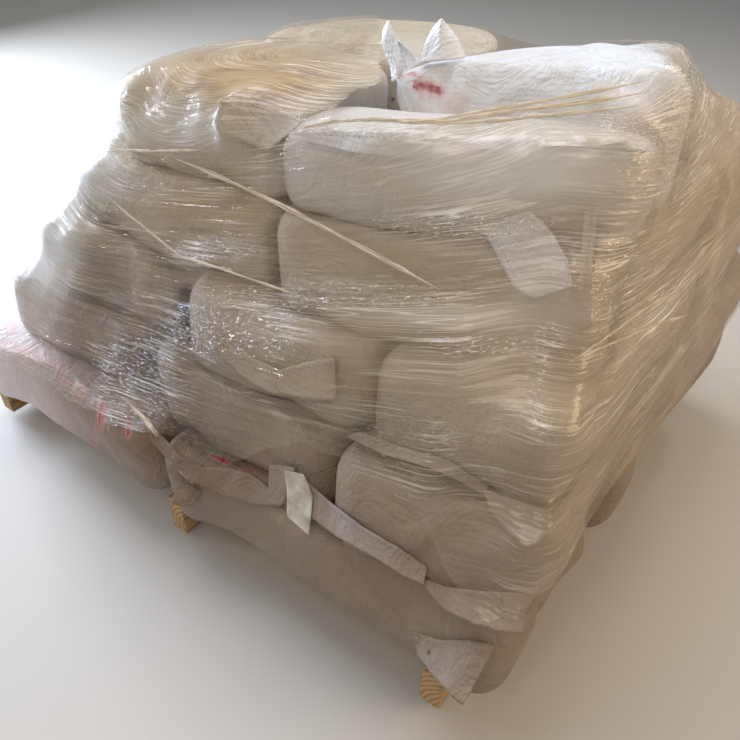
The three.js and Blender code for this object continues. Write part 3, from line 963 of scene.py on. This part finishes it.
def film_points(props, tree):
    """The film as a grid: rows up the sides, round the rim and in over the top, columns round the load."""
    columns = ring_columns(props.columns)
    inner = np.stack([ring_points(columns, k, INSIDE) for k in range(len(ORDER))])
    outer = np.stack([ring_points(columns, k, OUTSIDE) for k in range(len(ORDER))])
    foot = film_foot(outer[1])
    run = np.arange(len(foot))
    foot += 0.05 * np.sin(run * 0.11) + 0.04 * np.sin(run * 0.37 + 1.0) + 0.02 * np.sin(run * 0.9)
    level = foot + (TOP_LAYER - foot) * np.linspace(0, 1, props.rows)[:, None]
    low = np.clip(np.floor(level).astype(int), 0, TOP_LAYER - 1)
    part = (level - low)[..., None]
    column = np.broadcast_to(run, level.shape)
    starts = outer[low, column] * (1 - part) + outer[low + 1, column] * part
    ends = inner[low, column] * (1 - part) + inner[low + 1, column] * part

    out = outer[TOP_LAYER] - inner[TOP_LAYER]
    out /= np.linalg.norm(out, axis=1, keepdims=True)
    centre = ring_points(columns, TOP_LAYER, -70.0)
    up = np.array([0.0, 0.0, 1.0])
    fan = np.linspace(0, math.pi / 2, FAN_ROWS + 1)[1:, None, None]
    fan_ways = np.cos(fan) * out + np.sin(fan) * up
    fan_starts = centre + OVER_TOP * fan_ways
    fan_ends = np.broadcast_to(centre, fan_starts.shape)
    top_rows = TOP_LAYER + TOP_ROW * np.arange(1, FAN_ROWS + LAP_ROWS + 1)[:, None] * np.ones(len(foot))
    laps = np.stack([ring_points(columns, TOP_LAYER, margin)
                     for margin in np.linspace(FIRST_LAP, LAST_LAP, LAP_ROWS)])
    starts = np.concatenate((starts, fan_starts, laps + OVER_TOP * up))
    ends = np.concatenate((ends, fan_ends, laps))
    rays = ends - starts
    reach = np.linalg.norm(rays, axis=-1)
    rays = rays / reach[..., None]
    limit = np.minimum(cast(tree, starts, rays, 0.6), reach) - props.stand_off
    far = tauten(starts, rays, limit, ((6, 50), (3, 50), (2, 40), (1, 50)), ring=True)
    return starts, rays, far, np.concatenate((level, top_rows)), limit - far


def line_rise(place):
    """How far the tension wrinkles rise for each metre round the load, at each column."""
    x, y = place[:, 0], place[:, 1]
    front = smooth_step(y, 0.55, 0.25)
    left = smooth_step(x, -0.75, -0.95)
    right = smooth_step(x, -0.02, 0.05)
    return front * ((1 - right) * (0.20 - 0.52 * left) - 0.12 * right)


def film_marks(points, free):
    """How dusty, pale and crumpled the film is at each point. Dust gathers high up, at the right end and
    where the film stands free of the sacks, and the rest is where the photograph shows it."""
    x, _, z = np.moveaxis(points - CORNER, -1, 0)
    grains = soft_noise(points.reshape(-1, 3), 0.11, 9).reshape(free.shape)
    dust = (0.04 + 0.05 * smooth_step(z, 0.45, 0.72)
            + 0.20 * smooth_step(x, -0.20, 0.06) * smooth_step(z, 0.20, 0.50)
            + 0.24 * smooth_step(free, 0.006, 0.045) * smooth_step(z, 0.40, 0.60)
            + 0.05 * grains)
    pixels = to_pixels(points)
    crinkle = np.full(free.shape, 0.06)
    paleness = np.full(free.shape, 0.25)
    for middle, half, strength, pale in DUSTY:
        share = 1 - smooth_step(np.linalg.norm((pixels - middle) / half, axis=-1), 0.3, 1.3)
        dust = dust + strength * share
        paleness = paleness + (pale - paleness) * share
    for middle, half, strength in SPARKLES:
        away = np.linalg.norm((pixels - middle) / half, axis=-1)
        crinkle = np.maximum(crinkle, strength * (1 - smooth_step(away, 0.5, 1.4)))
    return {"dust": np.clip(dust, 0.02, 0.95), "crinkle": crinkle, "paleness": paleness}


# The film's wrinkles: how far each family is turned from the winding in degrees, how many there are in a
# metre along it and across it, and their detail. The tension lines are 4 to 14 mm apart across the winding.
FILM_FOLDS = {"along": (0, 2.0, 110.0, 1.0), "askew": (9, 2.5, 90.0, 1.0), "crossing": (-12, 3.0, 70.0, 1.0),
              "fine": (4, 5.0, 230.0, 1.0), "facets": (0, 100.0, 330.0, 2.0), "strength": (0, 6.0, 14.0, 1.0),
              "soil": (25, 9.0, 26.0, 4.0)}


def film_material():
    """Clear stretch film: glossy, with tan dust on it, and pale along its wrinkles: painted highlights, and
    partly the whitening of creased film, which scatters the light. Pale dashes where it is crumpled are
    painted glints.
    """
    mat, tree = new_material("dusty stretch film")
    flow = add_node(tree, "ShaderNodeAttribute", attribute_name="flow").outputs["Vector"]
    dust, crinkled, paleness = (add_node(tree, "ShaderNodeAttribute", attribute_name=name).outputs["Fac"]
                                for name in ("dust", "crinkle", "paleness"))
    folds = {}
    for name, (turn, along, across, detail) in FILM_FOLDS.items():
        place = add_node(tree, "ShaderNodeMapping", {"Vector": flow, "Rotation": (0, 0, math.radians(turn)),
                                                     "Scale": (along, across, 1)})
        folds[name] = add_node(tree, "ShaderNodeTexNoise", {"Vector": place, "Scale": 1.0, "Detail": detail,
                                                            "Roughness": 0.55})

    # Bumps: broad wrinkles, and facets where the film is crumpled
    askew = add_node(tree, "ShaderNodeMath", (folds["askew"], 0.8), operation="MULTIPLY")
    crossing = add_node(tree, "ShaderNodeMath", (folds["crossing"], 0.5), operation="MULTIPLY")
    height = add_node(tree, "ShaderNodeMath", (folds["along"], askew), operation="ADD")
    height = add_node(tree, "ShaderNodeMath", (height, crossing), operation="ADD")
    wrinkles = add_node(tree, "ShaderNodeBump", {"Height": height, "Strength": 0.7, "Distance": 0.005})
    crumple = add_node(tree, "ShaderNodeBump", {"Height": folds["facets"], "Normal": wrinkles,
                                                "Strength": crinkled, "Distance": 0.008})

    # Pale lines, painted highlights and partly the whitening of creased film: thin ones where each family's
    # noise crosses its middle
    lines = None
    for name, width, share in (("along", 0.020, None), ("askew", 0.016, 0.9), ("fine", 0.022, 0.6)):
        ridge = add_node(tree, "ShaderNodeMath", (folds[name], 0.5), operation="SUBTRACT")
        ridge = add_node(tree, "ShaderNodeMath", (ridge,), operation="ABSOLUTE")
        ridge = add_node(tree, "ShaderNodeMapRange", (ridge, 0.0, width, 1.0, 0.0))
        if share is None:
            lines = ridge
        else:
            ridge = add_node(tree, "ShaderNodeMath", (ridge, share), operation="MULTIPLY")
            lines = add_node(tree, "ShaderNodeMath", (lines, ridge), operation="MAXIMUM")
    strong = add_node(tree, "ShaderNodeMapRange", (folds["strength"], 0.36, 0.60, 0.15, 1.0))
    lines = add_node(tree, "ShaderNodeMath", (lines, strong), operation="MULTIPLY")
    strong = add_node(tree, "ShaderNodeMapRange", (crinkled, 0.0, 0.6, 0.5, 1.0))
    lines = add_node(tree, "ShaderNodeMath", (lines, strong), operation="MULTIPLY")
    # Pale dashes where the film is crumpled: painted glints in its colour, besides the gloss that they add
    # below
    glints = add_node(tree, "ShaderNodeMapRange", (folds["facets"], 0.57, 0.62, 0.0, 1.0))
    glints = add_node(tree, "ShaderNodeMath", (glints, crinkled), operation="MULTIPLY")
    pale = add_node(tree, "ShaderNodeMath", (glints, 0.6), operation="MULTIPLY")
    pale = add_node(tree, "ShaderNodeMath", (lines, pale), operation="ADD")
    pale = add_node(tree, "ShaderNodeMath", (pale, 1.0), operation="MINIMUM")

    # Dust, milky haze and brown soil, which the painted highlights lie over
    cover = add_node(tree, "ShaderNodeMath", (pale, 0.75), operation="MULTIPLY")
    cover = add_node(tree, "ShaderNodeMath", (dust, cover), operation="ADD")
    cover = add_node(tree, "ShaderNodeMath", (cover, 0.95), operation="MINIMUM")
    soil = add_node(tree, "ShaderNodeMapRange", (folds["soil"], 0.50, 0.66, 0.0, 0.8))
    tan = add_node(tree, "ShaderNodeMapRange", (paleness, 0.0, 0.3, 1.0, 0.0))
    soil = add_node(tree, "ShaderNodeMath", (soil, tan), operation="MULTIPLY")
    colour = "#c8aa78"
    for share, paint in ((paleness, "#f4f2ee"), (soil, "#8e6a42"), (pale, "#fdfcf8")):
        colour = add_node(tree, "ShaderNodeMix", (share, colour, paint), data_type="RGBA")
    body = add_node(tree, "ShaderNodeBsdfPrincipled", {"Base Color": colour, "Alpha": cover,
                                                       "Roughness": 0.5})

    # The clear film's own gloss, kept under the reflection of a single pane, with stronger glints
    gloss = add_node(tree, "ShaderNodeBsdfAnisotropic", {"Normal": crumple, "Roughness": 0.12})
    share = add_node(tree, "ShaderNodeFresnel", {"IOR": 1.45})
    share = add_node(tree, "ShaderNodeMath", (share, 0.4), operation="MULTIPLY")
    share = add_node(tree, "ShaderNodeMath", (share, 0.03), operation="ADD")
    share = add_node(tree, "ShaderNodeMath", (share, 0.12), operation="MINIMUM")
    flash = add_node(tree, "ShaderNodeMath", (glints, 0.35), operation="MULTIPLY")
    share = add_node(tree, "ShaderNodeMath", (share, flash), operation="ADD")
    add_node(tree, "ShaderNodeOutputMaterial", (add_node(tree, "ShaderNodeMixShader", (share, body, gloss)),))
    return mat


class PALLET_OT_film(bpy.types.Operator):
    """Winds the dusty stretch film round the load"""
    bl_idname = "pallet_of_sacks.film"
    bl_label = "Stretch film"

    def execute(self, context):
        props = context.scene.pallet_film
        names = [f"{node}_bag" for node in SACKS] + list(HEMS)
        tree = surface_of([bpy.data.objects[name] for name in names])
        starts, rays, far, level, free = film_points(props, tree)
        rows, count = far.shape
        points = starts + rays * far[..., None]
        along = np.linalg.norm(np.diff(points[FLOW_ROW], axis=0), axis=1)
        along = np.concatenate(([0.0], np.cumsum(along)))
        climb = np.cumsum(line_rise(points[FLOW_ROW] - CORNER) * np.gradient(along))
        flow = np.stack((np.broadcast_to(along, far.shape), LAYER_HEIGHT * level - climb, np.zeros_like(far)),
                        axis=-1)
        spots = flow.reshape(-1, 3)
        fold = (np.abs(soft_noise(spots, (0.40, 0.026, 1.0), 7))
                + 0.8 * np.abs(soft_noise(spots + 3.0, (0.25, 0.016, 1.0), 8)))
        far = far - props.wrinkle * fold.reshape(far.shape)
        points = starts + rays * far[..., None]
        marks = film_marks(points, free)
        edge = soft_noise(points.reshape(-1, 3), 0.03, 10).reshape(far.shape)
        bare = inside(to_pixels(points) + edge[..., None] * 5, OPENING)
        bare[:props.rows + OPENING_ROWS] = False
        material = film_material()
        split = props.rows + RIM_ROWS
        for name, first, last in (("film_sides", 0, split), ("film_top", split - 1, rows)):
            part = slice(first, last)
            gone = bare[part].ravel()
            faces = [f for f in grid_faces(last - first, count, ring=True) if not all(gone[i] for i in f)]
            uv = flow[part].reshape(-1, 3)[:, :2]
            obj = mesh_object(name, points[part].reshape(-1, 3), faces, material, uv)
            for label, values in marks.items():
                set_attribute(obj, label, values[part].ravel())
            set_attribute(obj, "flow", flow[part])
            obj.data.validate()
            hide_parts("stretch_film")
            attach(obj, "root")
        return {"FINISHED"}


# Gathered strands of film in pixels of the photograph, with their half width in metres
STRANDS = {
    "film_strand_1": ([(176, 159), (218, 176), (279, 204), (340, 236), (400, 268), (440, 290)], 0.0030),
    "film_strand_2": ([(106, 152), (122, 150), (152, 151), (202, 150)], 0.0020),
    "film_strand_3": ([(124, 398), (142, 416), (157, 434), (172, 460), (193, 484)], 0.0040),
    "film_strand_4": ([(96, 186), (130, 216), (180, 256), (219, 268), (300, 296)], 0.0019),
    "film_strand_5": ([(570, 361), (610, 344), (655, 325), (690, 314)], 0.0021),
    "film_strand_6": ([(570, 362), (600, 342), (640, 312), (672, 292)], 0.0019),
    "film_edge_top": ([(372, 119), (429, 121), (518, 105), (592, 92), (650, 80)], 0.0022),
    "film_edge_top_2": ([(392, 123), (450, 121), (520, 110), (600, 100), (648, 92)], 0.0026),
    "film_edge_top_3": ([(430, 125), (490, 121), (560, 114), (640, 106)], 0.0020),
    "film_edge_top_4": ([(300, 128), (330, 122), (372, 119), (420, 123)], 0.0024),
}


STRAND_POINTS = 90
STRAND_SIDES = 8


def strand_material():
    """Stretch film gathered into a cord: many layers, so pale and only a little see-through, with lines along
    it where its pleats lie."""
    mat, tree = new_material("gathered stretch film")
    uv = add_node(tree, "ShaderNodeTexCoord").outputs["UV"]
    # Pleats 4 mm apart and about 80 mm long
    place = add_node(tree, "ShaderNodeMapping", {"Vector": uv, "Scale": (12, 260, 1)})
    pleats = add_node(tree, "ShaderNodeTexNoise", {"Vector": place, "Scale": 1.0, "Detail": 2.0})
    colour = add_node(tree, "ShaderNodeValToRGB", (pleats,), stops=((0.35, "#c9b48f"), (0.62, "#f1e8d6")))
    alpha = add_node(tree, "ShaderNodeMapRange", (pleats, 0.3, 0.6, 0.25, 0.85))
    shader = add_node(tree, "ShaderNodeBsdfPrincipled", {"Base Color": colour, "Alpha": alpha,
                                                         "Roughness": 0.3})
    add_node(tree, "ShaderNodeOutputMaterial", (shader,))
    return mat


class PALLET_OT_strands(bpy.types.Operator):
    """Draws the gathered strands and rolled edges of the film"""
    bl_idname = "pallet_of_sacks.strands"
    bl_label = "Film strands"

    def execute(self, context):
        tree = surface_of([bpy.data.objects[n] for n in ("film_sides", "film_top")]
                          + [bpy.data.objects[f"{node}_bag"] for node in SACKS])
        material = strand_material()
        run = np.arange(STRAND_POINTS)
        ends = np.clip(np.minimum(run, STRAND_POINTS - 1 - run) / 12, 0.15, 1)
        turn = np.linspace(0, 2 * math.pi, STRAND_SIDES + 1)[:-1]
        u, v = np.meshgrid(np.linspace(0, 0.03, STRAND_SIDES), np.linspace(0, 0.8, STRAND_POINTS))
        for i, (name, (path, half)) in enumerate(STRANDS.items()):
            rays = pixel_rays(resampled(path, STRAND_POINTS))
            far = cast(tree, EYE, rays, REACH) - 0.003
            met = np.flatnonzero(far < 3.0)
            far = np.interp(run, met, far[met])
            far = tauten(np.broadcast_to(EYE, (1,) + rays.shape), rays[None], far[None],
                         ((4, 20), (1, 30)))[0]
            line = EYE + rays * far[:, None]
            side = np.cross(np.gradient(line, axis=0), rays)
            side /= np.linalg.norm(side, axis=1, keepdims=True)
            ripple = half * (1 + 0.2 * np.sin(run * 0.21 + i) + 0.1 * np.sin(run * 0.53))
            ring = (np.cos(turn)[None, :, None] * side[:, None]
                    - 0.5 * np.sin(turn)[None, :, None] * rays[:, None])
            points = line[:, None] + ring * (ripple * ends)[:, None, None]
            faces = grid_faces(STRAND_POINTS, STRAND_SIDES, ring=True)
            obj = mesh_object(name, points.reshape(-1, 3), faces, material,
                              np.stack((v, u), axis=-1).reshape(-1, 2))
            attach(obj, "root")
        return {"FINISHED"}


# Boards

def pine_material():
    """Rough-sawn pallet pine: growth rings round a pith beside the board, which give long grain on its faces
    and arcs on its ends, greyed and dirty."""
    mat, tree = new_material("rough sawn pine")
    grain = add_node(tree, "ShaderNodeAttribute", attribute_name="grain").outputs["Vector"]
    # Rings about 9 mm apart, wider than most real ones, so that they show. Fibres 4 mm apart, 110 mm long.
    rings = add_node(tree, "ShaderNodeTexWave",
                     {"Vector": grain, "Scale": 34.0, "Distortion": 3.0, "Detail": 3.0, "Detail Scale": 1.2},
                     wave_type="RINGS", rings_direction="X", wave_profile="SAW")
    rings = rings.outputs["Fac"]
    wood = add_node(tree, "ShaderNodeValToRGB", (rings,), stops=((0.3, "#c8a778"), (1.0, "#946b42")))
    dirt = add_node(tree, "ShaderNodeTexNoise", {"Vector": grain, "Scale": 9.0, "Detail": 6.0,
                                                 "Roughness": 0.7})
    dirt = add_node(tree, "ShaderNodeMapRange", (dirt, 0.5, 0.75, 0.0, 0.6))
    colour = add_node(tree, "ShaderNodeMix", (dirt, wood, "#5a4329"), data_type="RGBA")
    place = add_node(tree, "ShaderNodeMapping", {"Vector": grain, "Scale": (9, 260, 260)})
    fibres = add_node(tree, "ShaderNodeTexNoise", {"Vector": place, "Scale": 1.0, "Detail": 3.0})
    bump = add_node(tree, "ShaderNodeBump", {"Height": fibres, "Strength": 0.6, "Distance": 0.0012})
    shader = add_node(tree, "ShaderNodeBsdfPrincipled", {"Base Color": colour, "Roughness": 0.78,
                                                         "Normal": bump})
    add_node(tree, "ShaderNodeOutputMaterial", (shader,))
    return mat


# How far the saw left a board's faces in and out of true, in metres
SAWN = 0.0006


class BoardSettings(bpy.types.PropertyGroup):
    bevel: FloatProperty(
        name="Bevel", description="Wear of the boards' edges", default=0.0025, subtype="DISTANCE",
        unit="LENGTH")


class PALLET_OT_boards(bpy.types.Operator):
    """Makes the pallet's boards and stringers"""
    bl_idname = "pallet_of_sacks.boards"
    bl_label = "Pallet boards"

    def execute(self, context):
        props = context.scene.pallet_board
        material = pine_material()
        rng = np.random.default_rng(21)
        for node in BOARDS:
            low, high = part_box(node)
            select_only()
            bpy.ops.mesh.primitive_cube_add(size=1.0, location=(low + high) / 2, scale=high - low)
            obj = context.object
            obj.name = f"{node}_pine"
            bpy.ops.object.transform_apply(location=True, rotation=True, scale=True)
            bpy.ops.object.mode_set(mode="EDIT")
            bpy.ops.mesh.select_all(action="SELECT")
            bpy.ops.mesh.bevel(offset=props.bevel, segments=2, affect="EDGES")
            bpy.ops.mesh.subdivide(number_cuts=2)
            bpy.ops.object.mode_set(mode="OBJECT")
            points = get_points(obj)
            size = np.array(high - low)
            lengthwise = int(np.argmax(size))
            order = [lengthwise] + [k for k in range(3) if k != lengthwise]
            wave = soft_noise(points + len(obj.name), 0.09, 31 + len(node))
            middle = np.array(low + high) / 2
            keep = (points - middle) / (size / 2)
            set_points(obj, middle + keep * (size / 2 - SAWN - SAWN * wave[:, None]))
            pith = np.array([0, rng.uniform(0.03, 0.09) * rng.choice((-1, 1)), rng.uniform(0.02, 0.10)])
            local = (get_points(obj) - middle)[:, order] + pith + (rng.uniform(0, 9), 0, 0)
            set_attribute(obj, "grain", local)
            obj.data.materials.append(material)
            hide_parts(node)
            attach(obj, "root")
        return {"FINISHED"}


# Stage

class StageSettings(bpy.types.PropertyGroup):
    floor_colour: FloatVectorProperty(
        name="Floor", description="Colour of the floor", subtype="COLOR", size=4, min=0, max=1,
        default=linear("#c6c2bb"))
    key_power: FloatProperty(
        name="Key light", description="Power of the light from the left", default=130.0, unit="POWER")
    top_power: FloatProperty(
        name="Top light", description="Power of the light from above", default=52.0, unit="POWER")
    left_power: FloatProperty(
        name="Left light", description="Power of the cool light on the left end", default=34.0, unit="POWER")
    right_power: FloatProperty(
        name="Right light", description="Power of the warm light from the right", default=38.0, unit="POWER")
    fill_power: FloatProperty(
        name="Fill light", description="Power of the light from the front", default=34.0, unit="POWER")
    glint_power: FloatProperty(
        name="Glint light", description="Power of each small light that glints on the film", default=12.0,
        unit="POWER")


# Each light: its name, where it is, what it points at, its side, the setting that holds its power, its colour
LIGHTS = [
    ("key_light", (-3.4, 0.1, 1.3), (-0.5, 0.0, 0.5), 1.6, "key_power", "#e6f0ff"),
    ("top_light", (-0.6, 0.1, 3.3), (0.0, 0.0, 0.6), 1.8, "top_power", "#f4f7ff"),
    ("left_light", (-2.4, -0.45, 0.8), (-0.6, -0.35, 0.3), 0.9, "left_power", "#c2d8ff"),
    ("right_light", (3.0, 0.8, 1.8), (0.3, 0.0, 0.5), 1.6, "right_power", "#ffe2b8"),
    ("fill_light", (1.0, -2.6, 3.2), (0, 0, 0.7), 2.0, "fill_power", "#fff0dd"),
    ("glint_light_back", (0.6, 2.8, 2.6), (0, 0, 0.6), 0.5, "glint_power", "#fff6e8"),
    ("glint_light_left", (-2.6, -1.9, 1.7), (0, 0, 0.5), 0.4, "glint_power", "#f2f6ff"),
]


def add_light(name, place, target, size, power, colour):
    light = bpy.data.lights.new(name, "AREA")
    light.shape = "RECTANGLE"
    light.size = light.size_y = size
    light.energy = power
    light.color = linear(colour)[:3]
    obj = bpy.data.objects.new(name, light)
    obj.location = place
    obj.rotation_euler = (Vector(target) - Vector(place)).to_track_quat("-Z", "Y").to_euler()
    bpy.context.scene.collection.objects.link(obj)


class PALLET_OT_stage(bpy.types.Operator):
    """Sets the camera, the floor and the lights"""
    bl_idname = "pallet_of_sacks.stage"
    bl_label = "Stage"

    def execute(self, context):
        props = context.scene.pallet_stage
        lens = bpy.data.cameras.new("camera")
        lens.sensor_width = SENSOR_MM
        lens.lens = SENSOR_MM * FOCAL_PX / IMAGE
        camera = bpy.data.objects.new("camera", lens)
        context.scene.collection.objects.link(camera)
        right, up, back = camera_axes()
        turn = Matrix((right, up, back)).transposed()
        camera.matrix_world = Matrix.Translation(Vector(EYE)) @ turn.to_4x4()
        context.scene.camera = camera

        bpy.ops.mesh.primitive_plane_add(size=40.0, location=(0, 0, 0))
        floor = context.object
        floor.name = "floor"
        # Matte painted floor: pale and even, with only a soft shine at low angles
        mat, tree = new_material("matte painted floor")
        shader = add_node(tree, "ShaderNodeBsdfPrincipled", {"Base Color": props.floor_colour,
                                                             "Roughness": 0.7})
        add_node(tree, "ShaderNodeOutputMaterial", (shader,))
        floor.data.materials.append(mat)

        for name, place, target, size, power, colour in LIGHTS:
            add_light(name, place, target, size, getattr(props, power), colour)
        world = bpy.data.worlds.new("studio")
        world.use_nodes = True
        sky = world.node_tree.nodes["Background"]
        sky.inputs["Color"].default_value = linear("#dfe3e8")
        sky.inputs["Strength"].default_value = 0.28
        context.scene.world = world
        context.scene.view_settings.view_transform = "Standard"
        return {"FINISHED"}


# Add-on

OPERATORS = [PALLET_OT_stage, PALLET_OT_boards, PALLET_OT_sacks, PALLET_OT_hems, PALLET_OT_tag,
             PALLET_OT_film, PALLET_OT_strands]
SETTINGS = {"pallet_stage": StageSettings, "pallet_board": BoardSettings, "pallet_sack": SackSettings,
            "pallet_hem": HemSettings, "pallet_film": FilmSettings}


class PALLET_PT_parts(bpy.types.Panel):
    """Lists the pieces and their settings"""
    bl_idname = "PALLET_PT_parts"
    bl_label = "Pallet of Sacks"
    bl_space_type = "VIEW_3D"
    bl_region_type = "UI"
    bl_category = "Pallet of Sacks"

    def draw(self, context):
        for operator in OPERATORS:
            self.layout.operator(operator.bl_idname)
        for name, group in SETTINGS.items():
            box = self.layout.box()
            for prop in group.__annotations__:
                box.prop(getattr(context.scene, name), prop)


def register():
    for cls in [*SETTINGS.values(), *OPERATORS, PALLET_PT_parts]:
        bpy.utils.register_class(cls)
    for name, group in SETTINGS.items():
        setattr(bpy.types.Scene, name, PointerProperty(type=group))


def unregister():
    for name in SETTINGS:
        delattr(bpy.types.Scene, name)
    for cls in reversed([*SETTINGS.values(), *OPERATORS, PALLET_PT_parts]):
        bpy.utils.unregister_class(cls)


def main():
    register()
    bpy.ops.pallet_of_sacks.stage()
    bpy.ops.pallet_of_sacks.boards()
    bpy.ops.pallet_of_sacks.sacks()
    bpy.ops.pallet_of_sacks.hems()
    bpy.ops.pallet_of_sacks.tag()
    bpy.ops.pallet_of_sacks.film()
    bpy.ops.pallet_of_sacks.strands()


if __name__ == "__main__":
    main()
